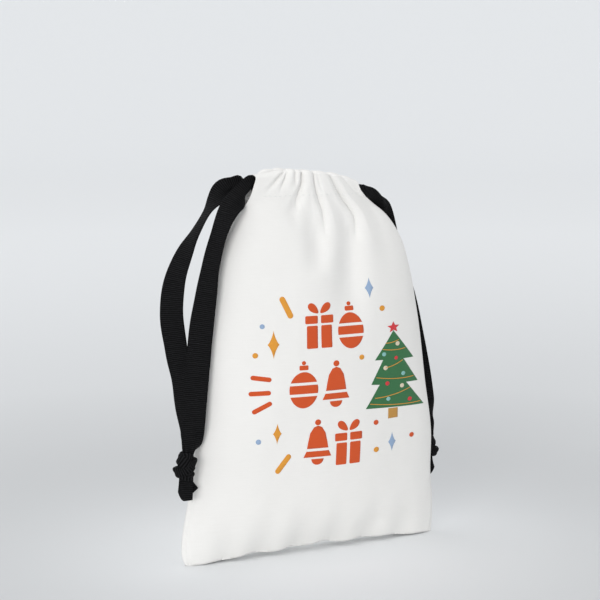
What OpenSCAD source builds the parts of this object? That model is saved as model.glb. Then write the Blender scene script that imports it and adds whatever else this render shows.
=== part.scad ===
// Drawstring gift pouch: two cotton panels sewn together, a casing round the mouth,
// and two flat tapes that run through it and are knotted outside at the left and the right.
// Millimetres. +Z is up, -Y is the printed front, and the pouch stands on z = 0.

/* [Pouch] */
// Half width of the pouch at its foot
foot_half_w = 72; // [70:0.5:74]
// Half depth of the pouch at its foot
foot_half_d = 10; // [8:0.5:11]
// Half depth of the pouch at its fullest
full_half_d = 20; // [18:0.5:21]
// Thickness of the cotton, seams pressed flat
cloth_t = 1; // [0.8:0.1:1.2]
// How far the gathered neck leans to the left of the foot
neck_lean = 5; // [0:0.5:6]

/* [Casing] */
// Height at which the casing starts
casing_z = 181; // [180:1:182]
// Height of the casing
casing_h = 15; // [14:0.5:16]
// Half width of the gathered neck
neck_half_w = 30; // [29:0.5:31]
// Half depth of the gathered neck
neck_half_d = 8.5; // [8:0.1:9]
// Thickness of the casing's cloth
casing_t = 0.8; // [0.6:0.1:0.9]
// Width of each casing channel, front to back
channel_d = 2.6; // [2.4:0.1:2.8]

/* [Tape] */
// Width of the tape where it lies flat
tape_w = 12; // [10:0.5:12]
// Thickness of one layer of tape
tape_t = 1; // [0.8:0.1:1]
// Height of the tape where it is folded inside the casing
folded_h = 5.6; // [5:0.1:5.6]
// Thickness of the folded tape
folded_t = 1.6; // [1.2:0.1:1.6]
// Radius of the knots
knot_r = 6; // [5:0.1:6.2]
// Height of the knots
knot_h = 14; // [12:0.5:14]

/* [Stitching] */
// Number of stitches along each casing
stitch_count = 17; // [9:1:21]
// Length of one stitch
stitch_l = 2.2; // [1.8:0.1:2.4]

/* [Hidden] */

cotton = [0.94, 0.94, 0.93];
black = [0.05, 0.05, 0.06];
thread = [0.98, 0.98, 0.97];

// Outline of the pouch from foot to neck: [z, half width, half depth, fullness exponent].
// A low exponent gives a boxy section and a high one a thin lens.
outline = [
    [0, foot_half_w, foot_half_d, 0.6],
    [14, foot_half_w - 0.5, 15, 0.62],
    [40, foot_half_w - 3, full_half_d - 2, 0.62],
    [80, foot_half_w - 6.5, full_half_d, 0.62],
    [120, foot_half_w - 11, full_half_d - 0.5, 0.6],
    [145, foot_half_w - 16, full_half_d - 2, 0.58],
    [160, foot_half_w - 22.5, 15.5, 0.52],
    [171, foot_half_w - 32, 12, 0.45],
    [177, foot_half_w - 37.5, 9.8, 0.38],
    [casing_z, neck_half_w + 2, neck_half_d, 0.3]
];
rows_between = 2;
panel_columns = 24;
top_z = casing_z + casing_h;
corner_round = 2;

// Smooth curve through four neighbouring rows, s from 0 to 1 between the middle two
function curve(p, q, r, t, s) =
    0.5 * (2 * q + (r - p) * s + (2 * p - 5 * q + 4 * r - t) * s * s + (3 * q - p - 3 * r + t) * s * s * s);
function row_at(k, s) =
    curve(outline[max(k - 1, 0)], outline[k], outline[k + 1], outline[min(k + 2, len(outline) - 1)], s);
rows = concat(
    [for (k = [0:len(outline) - 2]) for (i = [0:rows_between - 1]) row_at(k, i / rows_between)],
    [outline[len(outline) - 1]]
);

// The neck leans over more and more towards the top
function lean(z) = -neck_lean * pow(z / casing_z, 2);

// One level of the front panel's skin, drawn in by inset
function level(row, inset) = [
    for (j = [0:panel_columns])
        let (angle = -90 + 180 * j / panel_columns)
        [
            lean(row[0]) + (row[1] - inset) * sin(angle),
            -(row[2] - inset) * pow(cos(angle), 2 * row[3]),
            max(row[0], inset)
        ]
];
// The line at the bottom seam where the front and back panels meet
function seam_line(inset) = [
    for (j = [0:panel_columns])
        let (angle = -90 + 180 * j / panel_columns)
        [(foot_half_w - corner_round - inset) * sin(angle), 0, inset]
];

// Triangles of a grid of quads, rows by columns, starting at point start.
// The diagonals lean towards the middle on both halves, so that no corner triangle is flat.
function quad(a, b, c, d, flip) = flip ? [[a, c, b], [a, d, c]] : [[a, b, c], [a, c, d]];
function grid(start, row_count, column_count, flip) = [
    for (i = [0:row_count - 2]) for (j = [0:column_count - 2])
        let (
            a = start + i * column_count + j,
            b = a + column_count
        )
        each j < (column_count - 1) / 2 ? quad(a, b, b + 1, a + 1, flip) : quad(b, b + 1, a + 1, a, flip)
];

// Front panel as a closed skin: outer side, inner side, and the raw edges between them
module panel_skin() {
    outer = concat([seam_line(0)], [for (row = rows) level(row, 0)]);
    inner = concat([seam_line(cloth_t)], [for (row = rows) level(row, cloth_t)]);
    n_rows = len(outer);
    n = panel_columns + 1;
    q = n_rows * n;
    top = (n_rows - 1) * n;
    last = panel_columns;
    points = [for (line = concat(outer, inner)) each line];
    edges = concat(
        [for (j = [0:last - 1]) each [[top + j, q + top + j, q + top + j + 1], [top + j, q + top + j + 1, top + j + 1]]],
        [for (j = [0:last - 1]) each [[j + 1, q + j + 1, q + j], [j + 1, q + j, j]]],
        [for (i = [0:n_rows - 2]) each [
            [q + i * n, q + (i + 1) * n, (i + 1) * n],
            [q + i * n, (i + 1) * n, i * n]
        ]],
        [for (i = [0:n_rows - 2]) each [
            [i * n + last, (i + 1) * n + last, q + (i + 1) * n + last],
            [i * n + last, q + (i + 1) * n + last, q + i * n + last]
        ]]
    );
    polyhedron(points, concat(grid(0, n_rows, n, false), grid(q, n_rows, n, true), edges), convexity = 6);
}
module front_panel() {
    color(cotton) panel_skin();
}
module back_panel() {
    color(cotton) mirror([0, 1, 0]) panel_skin();
}

// A closed bar through a list of sections, each a ring of the same number of points
module bar_through(sections) {
    sides = len(sections[0]);
    last = len(sections) - 1;
    walls = [
        for (i = [0:last - 1]) for (j = [0:sides - 1])
            let (
                a = i * sides + j,
                b = i * sides + (j + 1) % sides
            )
            each [[a, a + sides, b + sides], [a, b + sides, b]]
    ];
    first_cap = [for (j = [0:sides - 1]) j];
    last_cap = [for (j = [0:sides - 1]) last * sides + sides - 1 - j];
    polyhedron([for (ring = sections) each ring], concat(walls, [first_cap, last_cap]), convexity = 6);
}

// Seam allowance: a pressed strip just inside the side edge
seam_w = 6;
seam_t = 1;
seam_gap = 0.6;
seam_start_z = 10;
module side_seam(side) {
    levels = [for (row = rows) if (row[0] >= seam_start_z && row[0] < casing_z - 2) row];
    sections = [
        for (row = levels)
            let (
                outside = row[1] - cloth_t - seam_gap,
                c = lean(row[0])
            )
            [
                [c + side * outside, -seam_t / 2, row[0]],
                [c + side * outside, seam_t / 2, row[0]],
                [c + side * (outside - seam_w), seam_t / 2, row[0]],
                [c + side * (outside - seam_w), -seam_t / 2, row[0]]
            ]
    ];
    flipped = [for (ring = sections) [ring[3], ring[2], ring[1], ring[0]]];
    bar_through(side > 0 ? flipped : sections);
}
module left_seam() {
    color(cotton) side_seam(-1);
}
module right_seam() {
    color(cotton) side_seam(1);
}
bottom_seam_h = 7;
module bottom_seam() {
    half = foot_half_w - corner_round - cloth_t - 3;
    color(cotton) translate([-half, -seam_t / 2, cloth_t]) cube([2 * half, seam_t, bottom_seam_h]);
}

// Casing: a flat tube of cloth whose inner wall stops short of the slits, so the far tape can turn there
facing_half_w = 22;
casing_d = channel_d + 2 * casing_t;
module casing() {
    translate([-neck_lean, -neck_half_d, casing_z]) difference() {
        translate([-neck_half_w, 0, 0]) cube([2 * neck_half_w, casing_d, casing_h]);
        translate([-neck_half_w - 1, casing_t, casing_t])
            cube([2 * neck_half_w + 2, channel_d, casing_h - 2 * casing_t]);
        for (side = [-1, 1])
            translate([side > 0 ? facing_half_w : -neck_half_w - 1, casing_t + channel_d - 0.5, casing_t])
                cube([neck_half_w + 1 - facing_half_w, casing_d, casing_h - 2 * casing_t]);
    }
}
module front_casing() {
    color(cotton) casing();
}
module back_casing() {
    color(cotton) mirror([0, 1, 0]) casing();
}

// Stitches stand a little proud of the casing along its lower edge
stitch_t = 0.4;
stitch_z = 1.2;
module stitches() {
    pitch = (2 * neck_half_w - 6) / (stitch_count - 1);
    for (i = [0:stitch_count - 1])
        translate([
            -neck_lean - neck_half_w + 3 + i * pitch - stitch_l / 2,
            -neck_half_d - stitch_t,
            casing_z + stitch_z
        ])
            cube([stitch_l, stitch_t, stitch_t]);
}
module front_stitches() {
    color(thread) stitches();
}
module back_stitches() {
    color(thread) mirror([0, 1, 0]) stitches();
}

// Bar tacks close the seam at the foot of each slit
tack_half_w = 0.8;
tack_half_d = 2.5;
tack_h = 1.1;
module tack(side) {
    translate([-neck_lean + side * (neck_half_w + 1.4) - tack_half_w, -tack_half_d, casing_z])
        cube([2 * tack_half_w, 2 * tack_half_d, tack_h]);
}
module left_tack() {
    color(thread) tack(-1);
}
module right_tack() {
    color(thread) tack(1);
}

// The two tapes lie in the casing one above the other, so that they pass freely
band_z = [casing_z + 8, casing_z + 1.4];
channel_mid = neck_half_d - casing_t - channel_d / 2;
exit_half_w = neck_half_w + 1;
turn_centre = neck_half_w + 0.7 - channel_mid - folded_t / 2;
lead_gap = 0.6;
// A lead runs from the slit where its loop hangs to the start of the far turn; side -1 is left
module lead(side, face) {
    band = side < 0 ? band_z[0] : band_z[1];
    start = side < 0 ? -exit_half_w : -turn_centre + lead_gap;
    translate([-neck_lean + start, face * channel_mid - folded_t / 2, band])
        cube([exit_half_w + turn_centre - lead_gap, folded_t, folded_h]);
}
// The tape turns from the front casing to the back one at the far slit
module turn(side) {
    band = side < 0 ? band_z[0] : band_z[1];
    translate([-neck_lean - side * turn_centre, 0, band])
        rotate([0, 0, side < 0 ? -90 : 90])
            rotate_extrude(angle = 180)
                translate([channel_mid - folded_t / 2, 0])
                    square([folded_t, folded_h]);
}
module left_lead_front() {
    color(black) lead(-1, -1);
}
module left_lead_back() {
    color(black) lead(-1, 1);
}
module left_turn() {
    color(black) turn(-1);
}
module right_lead_front() {
    color(black) lead(1, -1);
}
module right_lead_back() {
    color(black) lead(1, 1);
}
module right_turn() {
    color(black) turn(1);
}

// Routes of the free strands, from the slit to the knot: [x, y, z]
left_exit_z = band_z[0] + folded_h / 2;
right_exit_z = band_z[1] + folded_h / 2;
strand_start = exit_half_w + 0.5;
left_knot_at = [-76, -8, 51.5];
right_knot_at = [77, 12, 42.5];
left_front_route = [
    [-neck_lean - strand_start, -channel_mid, left_exit_z], [-42.6, -6.6, 188], [-47.2, -6.5, 183.4], [-50.9, -6.3, 178.4],
    [-53.6, -6.1, 172.2], [-56.8, -5.7, 163], [-59.9, -5.3, 152], [-62.8, -5, 136], [-65.6, -5, 119], [-67.5, -5, 102],
    [-69.4, -5.4, 86], [-71.2, -6.4, 73], [-73.2, -8.2, 63.5], [-74.8, -9.2, left_knot_at[2] + knot_h / 2]
];
left_back_route = [
    [-neck_lean - strand_start, channel_mid, left_exit_z], [-42, 7.2, 188.9], [-46.5, 8, 186.3], [-51, 8.4, 181.6],
    [-55, 8.8, 175.6], [-59.8, 9.4, 168], [-66.2, 10.2, 157], [-72.2, 10.4, 143], [-74.8, 9.8, 126], [-73.3, 8, 108],
    [-72.2, 5, 93], [-72.4, 1.5, 79], [-73, -2.4, 67], [-74.8, -6.8, left_knot_at[2] + knot_h / 2]
];
right_front_route = [
    [-neck_lean + strand_start, -channel_mid, right_exit_z], [31.2, -4.2, 182], [35.2, -1.8, 179.4], [39.2, 1.6, 175.6],
    [42.4, 4.6, 170.8], [45.8, 6.8, 164.8], [49.8, 8.8, 154.6], [55.4, 10.2, 141], [61.6, 10.8, 124], [66.3, 10.8, 105],
    [70.4, 10.8, 87], [73.8, 10.8, 69], [76.8, 11, 56], [77.6, 10.8, right_knot_at[2] + knot_h / 2]
];
right_back_route = [
    [-neck_lean + strand_start, channel_mid, right_exit_z], [31.2, 7.6, 182.2], [35.8, 10.2, 179], [40.4, 13, 173.9],
    [45.4, 15.4, 167], [50.6, 17.4, 158], [55.8, 18.6, 145], [61.4, 19.2, 128], [66.5, 19, 109], [70.5, 18, 90],
    [74.2, 16.4, 72], [76.8, 14.8, 59], [77.4, 13.2, right_knot_at[2] + knot_h / 2]
];
// The side of the tape that faces out, in the casing and outside it
casing_face = [0, -1, 0];
open_face = [-0.48, -0.84, 0.25];

function unit(v) = v / norm(v);
function along(route, i) = unit(route[min(i + 1, len(route) - 1)] - route[max(i - 1, 0)]);
function soften(s) = s <= 0 ? 0 : s >= 1 ? 1 : s * s * (3 - 2 * s);
// Share of full width: folded at the slit, open along the strand, pinched again at the knot
pinch = 0.6;
function openness(i, last) = soften(i / 3) * (1 - pinch * soften((i - last + 2) / 2));
// Eight-sided flat section of the tape, across its route
function tape_section(route, i) =
    let (
        last = len(route) - 1,
        open = openness(i, last),
        w = folded_h + (tape_w - folded_h) * open,
        t = folded_t + (tape_t - folded_t) * min(1, open * 1.3),
        out = unit(casing_face + (open_face - casing_face) * soften(i / 3)),
        flat = i == 0 ? [-1, 0, 0] : i == last ? [0, 0, -1] : along(route, i),
        run = i == 0 && route[0][0] > 0 ? [1, 0, 0] : flat,
        across = unit(cross(run, out)),
        through = cross(across, run)
    )
    [
        for (corner = [[-0.5, 0.2], [-0.4, 0.5], [0.4, 0.5], [0.5, 0.2], [0.5, -0.2], [0.4, -0.5], [-0.4, -0.5], [-0.5, -0.2]])
            route[i] + across * w * corner[0] + through * t * corner[1]
    ];
module strand(route) {
    color(black) bar_through([for (i = [0:len(route) - 1]) tape_section(route, i)]);
}
module left_front_strand() {
    strand(left_front_route);
}
module left_back_strand() {
    strand(left_back_route);
}
module right_front_strand() {
    strand(right_front_route);
}
module right_back_strand() {
    strand(right_back_route);
}

// Overhand knot: a core with two wraps of tape round it
wrap_r = 2.2;
module knot(at) {
    color(black) translate(at) {
        translate([0, 0, -knot_h / 2]) cylinder(r = knot_r - 1.6, h = knot_h, $fn = 48);
        for (tilt = [-18, 18])
            rotate([0, tilt, 0])
                rotate_extrude($fn = 48)
                    translate([knot_r - wrap_r, tilt / 10])
                        circle(r = wrap_r, $fn = 32);
    }
}
module left_knot() {
    knot(left_knot_at);
}
module right_knot() {
    knot(right_knot_at);
}

// The two cut ends below a knot, one longer than the other, with slanting cuts
long_tail = [[-3.6, 0], [3.2, 0], [3.6, -8], [-1, -10.5], [-4, -8]];
short_tail = [[-2.4, 0], [2.4, 0], [4.6, -6.5], [0.6, -7.5]];
tail_t = 1.2;
module tails(at) {
    color(black) translate([at[0], at[1], at[2] - knot_h / 2]) {
        translate([-0.8, -0.6, 0]) rotate([90, 0, 0]) linear_extrude(tail_t) polygon(long_tail);
        translate([0.8, 1.8, 0]) rotate([90, 0, 0]) linear_extrude(tail_t) polygon(short_tail);
    }
}
module left_tails() {
    tails(left_knot_at);
}
module right_tails() {
    tails(right_knot_at);
}

front_panel();
back_panel();
left_seam();
right_seam();
bottom_seam();
front_casing();
back_casing();
front_stitches();
back_stitches();
left_tack();
right_tack();
left_lead_front();
left_lead_back();
left_turn();
left_front_strand();
left_back_strand();
left_knot();
left_tails();
right_lead_front();
right_lead_back();
right_turn();
right_front_strand();
right_back_strand();
right_knot();
right_tails();
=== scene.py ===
"""Drawstring gift pouch: its looks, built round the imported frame. Lengths are millimetres unless noted."""
import math

import bmesh
import bpy
import numpy as np
from mathutils import Matrix, Vector, noise
from mathutils.bvhtree import BVHTree
from mathutils.geometry import tessellate_polygon


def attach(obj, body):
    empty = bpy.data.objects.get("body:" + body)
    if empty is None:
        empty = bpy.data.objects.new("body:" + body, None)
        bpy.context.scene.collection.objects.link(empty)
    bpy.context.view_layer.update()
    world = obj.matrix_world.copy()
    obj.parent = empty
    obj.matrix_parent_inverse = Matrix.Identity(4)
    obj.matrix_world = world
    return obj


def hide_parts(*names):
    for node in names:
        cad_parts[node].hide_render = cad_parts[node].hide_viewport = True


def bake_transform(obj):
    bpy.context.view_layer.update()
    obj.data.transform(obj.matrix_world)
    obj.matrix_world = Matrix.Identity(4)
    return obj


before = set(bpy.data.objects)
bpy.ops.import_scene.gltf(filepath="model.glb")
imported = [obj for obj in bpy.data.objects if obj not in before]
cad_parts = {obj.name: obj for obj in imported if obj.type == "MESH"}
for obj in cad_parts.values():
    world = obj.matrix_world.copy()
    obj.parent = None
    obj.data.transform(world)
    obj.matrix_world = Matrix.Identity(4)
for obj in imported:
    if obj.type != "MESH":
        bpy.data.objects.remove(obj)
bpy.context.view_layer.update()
MM = 0.001
POUCH, LEFT, RIGHT = "pouch", "left", "right"
FRONT, BACK = -1, 1


# ---------------------------------------------------------------- helpers
def soften(s):
    """Smooth step from 0 to 1."""
    s = np.clip(s, 0.0, 1.0)
    return s * s * (3 - 2 * s)


def unit(v):
    return v / np.maximum(np.linalg.norm(v, axis=-1, keepdims=True), 1e-12)


def through(keys, values, at):
    """Smooth curve through values at keys, read at the places in at; values may have several columns."""
    keys, values, at = np.asarray(keys, float), np.asarray(values, float), np.asarray(at, float)
    slope = np.gradient(values, keys, axis=0)
    i = np.clip(np.searchsorted(keys, at, side="right") - 1, 0, len(keys) - 2)
    step = keys[i + 1] - keys[i]
    s = np.clip((at - keys[i]) / step, 0, 1)
    if values.ndim > 1:
        step, s = step[..., None], s[..., None]
    h = s * s * (3 - 2 * s)
    return (
        values[i] * (1 - h)
        + values[i + 1] * h
        + step * slope[i] * s * (1 - s) ** 2
        - step * slope[i + 1] * s * s * (1 - s)
    )


def lengths_along(points):
    """How far each point lies from the first one, along the line through them."""
    return np.concatenate([[0], np.cumsum(np.linalg.norm(np.diff(points, axis=0), axis=1))])


def make_piece(name, points, faces, material, body=None, uv=None, nodes=()):
    """A smooth piece with its faces looking outwards; uv gives one pair per point, nodes what it replaces."""
    mesh = bpy.data.meshes.new(name)
    mesh.from_pydata((np.asarray(points) * MM).tolist(), [], [list(map(int, f)) for f in faces])
    if uv is not None:
        layer = mesh.uv_layers.new(name="cloth")
        corner = np.empty(len(mesh.loops), int)
        mesh.loops.foreach_get("vertex_index", corner)
        layer.data.foreach_set("uv", np.asarray(uv, float)[corner].ravel())
    mesh.polygons.foreach_set("use_smooth", [True] * len(mesh.polygons))
    mesh.materials.append(material)
    mesh.update()
    b = bmesh.new()
    b.from_mesh(mesh)
    bmesh.ops.recalc_face_normals(b, faces=b.faces)
    b.to_mesh(mesh)
    b.free()
    piece = bpy.data.objects.new(name, mesh)
    bpy.context.collection.objects.link(piece)
    if body:
        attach(piece, body)
    if nodes:
        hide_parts(*nodes)
    return piece


def join_meshes(parts):
    """Points, faces and uv of several meshes as one list each."""
    points, faces, uvs, start = [], [], [], 0
    for p, f, uv in parts:
        points.append(np.asarray(p, float))
        uvs.append(np.asarray(uv, float) if uv is not None else np.zeros((len(p), 2)))
        faces += [[start + k for k in face] for face in f]
        start += len(p)
    return np.concatenate(points), faces, np.concatenate(uvs)


def grid_uv(across, along):
    """One uv pair per point of a grid, from values that broadcast to its rows and columns."""
    return np.stack(np.broadcast_arrays(across, along), axis=2).reshape(-1, 2)


def angles(count):
    """Even angles once round a circle."""
    return np.linspace(0, 2 * math.pi, count, endpoint=False)


def tube_faces(rings, around, closed=False):
    """Quads between neighbouring rings of points; closed joins the last ring to the first one too."""
    return [
        (i * around + j, i * around + k, (i + 1) % rings * around + k, (i + 1) % rings * around + j)
        for i in range(rings if closed else rings - 1)
        for j, k in zip(range(around), [*range(1, around), 0])
    ]


def strip_caps(rings, around):
    """Faces that close both ends of a flat tube, whose rings run along its face and back along its rear."""
    quads = [(j, j + 1, around - 2 - j, around - 1 - j) for j in range(around // 2 - 1)]
    last = (rings - 1) * around
    return [(a, d, c, b) for a, b, c, d in quads] + [tuple(last + k for k in quad) for quad in quads]


# ---------------------------------------------------------------- camera
CAMERA_TURN = -28.6  # degrees round the pouch, negative towards its left side
CAMERA_TILT = 7.0
CAMERA_AWAY = 873.0
CAMERA_HEIGHT = 236.0
CAMERA_ASIDE = -7.0
LENS = 103.8


def make_camera():
    turn = math.radians(CAMERA_TURN)
    ahead = Vector((-math.sin(turn), math.cos(turn), 0))
    right = Vector((math.cos(turn), math.sin(turn), 0))
    data = bpy.data.cameras.new("camera")
    data.lens = LENS
    data.sensor_width = 36
    camera = bpy.data.objects.new("camera", data)
    place = -ahead * CAMERA_AWAY + right * CAMERA_ASIDE + Vector((0, 0, CAMERA_HEIGHT))
    camera.location = place * MM
    camera.rotation_euler = (math.radians(90 - CAMERA_TILT), 0, turn)
    bpy.context.collection.objects.link(camera)
    bpy.context.scene.camera = camera


make_camera()


# ---------------------------------------------------------------- materials
class Wire:
    """An output in a node tree; arithmetic with it adds Math nodes."""

    def __init__(self, socket):
        self.socket = socket

    def maths(self, operation, other=0.0):
        n = self.socket.id_data.nodes.new("ShaderNodeMath")
        n.operation = operation
        connect(n.inputs[0], self)
        connect(n.inputs[1], other)
        return Wire(n.outputs[0])

    def __add__(self, other):
        return self.maths("ADD", other)

    def __mul__(self, other):
        return self.maths("MULTIPLY", other)


def connect(socket, value):
    """Feeds an input from a wire, or sets it to a plain value."""
    if isinstance(value, Wire):
        socket.id_data.links.new(value.socket, socket)
    else:
        socket.default_value = value


def wire(tree, kind, output=0, **inputs):
    """An output of a new node with its inputs set."""
    n = tree.nodes.new(kind)
    for key, value in inputs.items():
        connect(n.inputs[key.replace("_", " ")], value)
    return Wire(n.outputs[output])


def node_material(name, colour, roughness, shine=0.25):
    m = bpy.data.materials.new(name)
    m.use_nodes = True
    shader = m.node_tree.nodes["Principled BSDF"]
    shader.inputs["Base Color"].default_value = (*colour, 1)
    shader.inputs["Roughness"].default_value = roughness
    shader.inputs["Specular IOR Level"].default_value = shine
    return m, m.node_tree, shader


def noise_at(source, scale, detail=2.0, roughness=0.5, stretch=None):
    tree = source.socket.id_data
    if stretch:
        source = wire(tree, "ShaderNodeMapping", Vector=source, Scale=stretch)
    return wire(tree, "ShaderNodeTexNoise", Vector=source, Scale=scale, Detail=detail, Roughness=roughness)


def split(source):
    """The first two parts of a vector."""
    n = source.socket.id_data.nodes.new("ShaderNodeSeparateXYZ")
    connect(n.inputs[0], source)
    return Wire(n.outputs[0]), Wire(n.outputs[1])


def coat(tree, shader, share, dark, light, height, strength, depth):
    """Colours a shader between dark and light by share, and bumps it by height."""
    mix = tree.nodes.new("ShaderNodeMix")
    mix.data_type = "RGBA"
    connect(mix.inputs["Factor"], share)
    connect(mix.inputs[6], (*dark, 1))
    connect(mix.inputs[7], (*light, 1))
    connect(shader.inputs["Base Color"], Wire(mix.outputs[2]))
    bump = wire(tree, "ShaderNodeBump", Strength=strength, Distance=depth * MM, Height=height)
    connect(shader.inputs["Normal"], bump)


def set_sheen(shader, weight, roughness):
    shader.inputs["Sheen Weight"].default_value = weight
    shader.inputs["Sheen Roughness"].default_value = roughness


THREAD_PITCH = 0.42  # between neighbouring yarns of the cotton
RIB_PITCH = 0.95  # between the tape's ribs


def weave_height(source):
    """Height of a plain weave with thick and thin yarns, and its slubs, from a vector in millimetres."""
    across, along = split(source)
    wander = noise_at(source, 0.35)
    turn = 2 * math.pi / THREAD_PITCH
    waves = ((across + wander * 0.5) * turn).maths("SINE") * ((along + wander * 0.6) * turn).maths("SINE")
    slub = noise_at(source, 1.0, 3, 0.6, (0.12, 1.6, 1))
    slub_up = noise_at(source, 1.0, 2, 0.6, (1.6, 0.16, 1))
    return waves * 0.18 + (slub + slub_up * 0.5), slub


def cloth_material(name, light, dark):
    """Cotton, or ink soaked into it: yarn bumps and slubs from the cloth's own coordinates in millimetres."""
    m, tree, shader = node_material(name, light, 0.88)
    source = wire(tree, "ShaderNodeUVMap")
    height, slub = weave_height(source)
    patches = noise_at(source, 0.04, 3)
    coat(tree, shader, slub * 0.7 + patches * 0.3, dark, light, height, 0.35, 0.07)
    set_sheen(shader, 0.12, 0.5)
    return m


def tape_material():
    """Black ribbed tape: raised cross ribs, fine yarns and a little sheen, its colour painted lighter on the
    ribs' crests as painted highlight and darker in the gaps between them as painted shade.
    """
    m, tree, shader = node_material("black_tape", (0.006, 0.006, 0.007), 0.75, 0.05)
    source = wire(tree, "ShaderNodeUVMap")
    _, along = split(source)
    waver = noise_at(source, 1.0, 2, 0.5, (0.25, 0.9, 1))
    ribs = ((along + waver * 0.5) * (math.pi / RIB_PITCH)).maths("SINE").maths("ABSOLUTE")
    yarn = noise_at(source, 1.0, 2, 0.6, (7, 2.0, 1))
    # painted light: the colour is lighter on each rib's crest as a painted highlight and darker in the gaps
    # between ribs as painted shade, varied by the yarns' own random tone
    lit = ribs.maths("POWER", 2.0) * (yarn * 1.2 + 0.1)
    coat(tree, shader, lit, (0.0006, 0.0006, 0.0007), (0.021, 0.021, 0.0225), ribs + yarn * 0.35, 0.8, 0.22)
    set_sheen(shader, 0.01, 0.4)
    return m


def thread_material():
    m, tree, shader = node_material("white_thread", (0.86, 0.86, 0.85), 0.7)
    twist = noise_at(wire(tree, "ShaderNodeTexCoord", "Object"), 3000.0, 1)
    coat(tree, shader, twist, (0.7, 0.7, 0.69), (0.9, 0.9, 0.89), twist, 0.4, 0.05)
    return m


COTTON = cloth_material("white_cotton", (0.872, 0.862, 0.84), (0.815, 0.803, 0.777))
TAPE = tape_material()
THREAD = thread_material()
# Each ink's colour where it is light and where it is dark
INK_COLOURS = {
    "red": ((0.66, 0.098, 0.024), (0.58, 0.08, 0.02)),
    "green": ((0.045, 0.175, 0.07), (0.035, 0.145, 0.055)),
    "gold": ((0.76, 0.34, 0.05), (0.68, 0.29, 0.04)),
    "blue": ((0.32, 0.435, 0.62), (0.28, 0.39, 0.56)),
    "brown": ((0.56, 0.30, 0.075), (0.48, 0.25, 0.06)),
    "crimson": ((0.68, 0.05, 0.06), (0.6, 0.04, 0.05)),
    "cream": ((0.75, 0.66, 0.5), (0.68, 0.6, 0.45)),
    "aqua": ((0.27, 0.55, 0.52), (0.23, 0.48, 0.46)),
}
INK = {ink: cloth_material(ink + "_ink", *colours) for ink, colours in INK_COLOURS.items()}

# ---------------------------------------------------------------- rim
# Height of the front's rim along the mouth: it droops to the right
RIM = np.array([
    [-36, 193.9], [-30, 194.6], [-24, 195.5], [-18, 196.1], [-12, 195.6],
    [-5, 195.1], [6, 193.8], [15, 191.5], [20, 189.5], [25, 188.0],
])
BACK_RIM_DROP = 1.6  # how much lower the back's rim lies at its left end


def rim_at(x):
    return through(RIM[:, 0], RIM[:, 1], np.clip(x, RIM[0, 0], RIM[-1, 0]))


# ---------------------------------------------------------------- tapes
TAPE_WIDTH = 12.0
TAPE_THICK = 0.6
# Where each tape leaves the casing, and the knot in its loop
SLIT_X = {LEFT: -36.5, RIGHT: 26.5}
SLIT_Z = {LEFT: 191.8, RIGHT: 185.2}
KNOT_AT = {LEFT: (-76, -8, 51.5), RIGHT: (77, 12, 42.5)}
# Routes of the free strands, from just inside the slit to the knot
ROUTES = {
    "left_front": [
        (-34.5, -6.4, 190.8), (-38, -6.5, 190.8), (-42.6, -6.6, 188), (-47.2, -6.5, 183.4),
        (-50.9, -6.3, 178.4), (-53.6, -6.1, 172.2), (-56.8, -5.7, 163), (-59.9, -5.3, 152), (-62.8, -5, 136),
        (-65.6, -5, 119), (-67.5, -5, 102), (-69.4, -5.4, 86), (-71.2, -6.4, 73), (-73.2, -8.2, 63.5),
        (-74.8, -9.2, 58.5),
    ],
    "left_back": [
        (-34.5, 6.4, 190.2), (-38, 6.7, 190), (-42, 7.2, 188.9), (-46.5, 8, 186.3), (-51, 8.4, 181.6),
        (-55, 8.8, 175.6), (-59.8, 9.4, 168), (-66.2, 10.2, 157), (-72.2, 10.4, 143), (-74.8, 9.8, 126),
        (-73.3, 8, 108), (-72.2, 5, 93), (-72.4, 1.5, 79), (-73, -2.4, 67), (-74.8, -6.8, 58.5),
    ],
    "right_front": [
        (24.5, -6.4, 184), (27.5, -5.6, 183), (31.2, -4.2, 182), (35.2, -1.8, 179.4), (39.2, 1.6, 175.6),
        (42.4, 4.6, 170.8), (45.8, 6.8, 164.8), (49.8, 8.8, 154.6), (55.4, 10.2, 141), (61.6, 10.8, 124),
        (66.3, 10.8, 105), (70.4, 10.8, 87), (73.8, 10.8, 69), (76.8, 11, 56), (77.6, 10.8, 49.5),
    ],
    "right_back": [
        (24.5, 6.4, 183.8), (27.5, 6.7, 183.4), (31.2, 7.6, 182.2), (35.8, 10.2, 179), (40.4, 13, 173.9),
        (45.4, 15.4, 167), (50.6, 17.4, 158), (55.8, 18.6, 145), (61.4, 19.2, 128), (66.5, 19, 109),
        (70.5, 18, 90), (74.2, 16.4, 72), (76.8, 14.8, 59), (77.4, 13.2, 49.5),
    ],
}
# At each point of a route: degrees its lower half is folded behind, and turned from the casing's face
OPEN_FACE = (-0.48, -0.84, 0.25)  # where an open strand looks
STRANDS = {
    "left_front": {
        "fold": [165, 150, 115, 70, 30, 5, 0, 0, 0, 0, 0, 0, 5, 60, 150],
        "twist": [0, 0, 8, 22, 34, 40, 42, 40, 26, 5, 0, 0, 0, 0, 0],
    },
    "left_back": {
        "fold": [165, 140, 90, 40, 10, 0, 0, 0, 0, 0, 0, 0, 20, 90, 150],
        "twist": [0, 0, 0, 15, 42, 62, 64, 44, 24, 12, 18, 36, 42, 40, 0],
    },
    "right_front": {
        "fold": [165, 160, 145, 130, 105, 60, 20, 0, 0, 0, 0, 0, 20, 100, 150],
        "twist": [0, 0, 5, 15, 25, 30, 25, 15, 5, 0, 0, 0, 0, 0, 0],
    },
    "right_back": {
        "fold": [165, 140, 90, 40, 5, 0, 0, 0, 0, 0, 0, 20, 100, 150],
        "twist": [0, 0, 0, 5, 10, 15, 10, 0, -5, -5, 0, 5, 0, 0],
    },
}
MOST_FOLD = 172  # degrees
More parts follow.
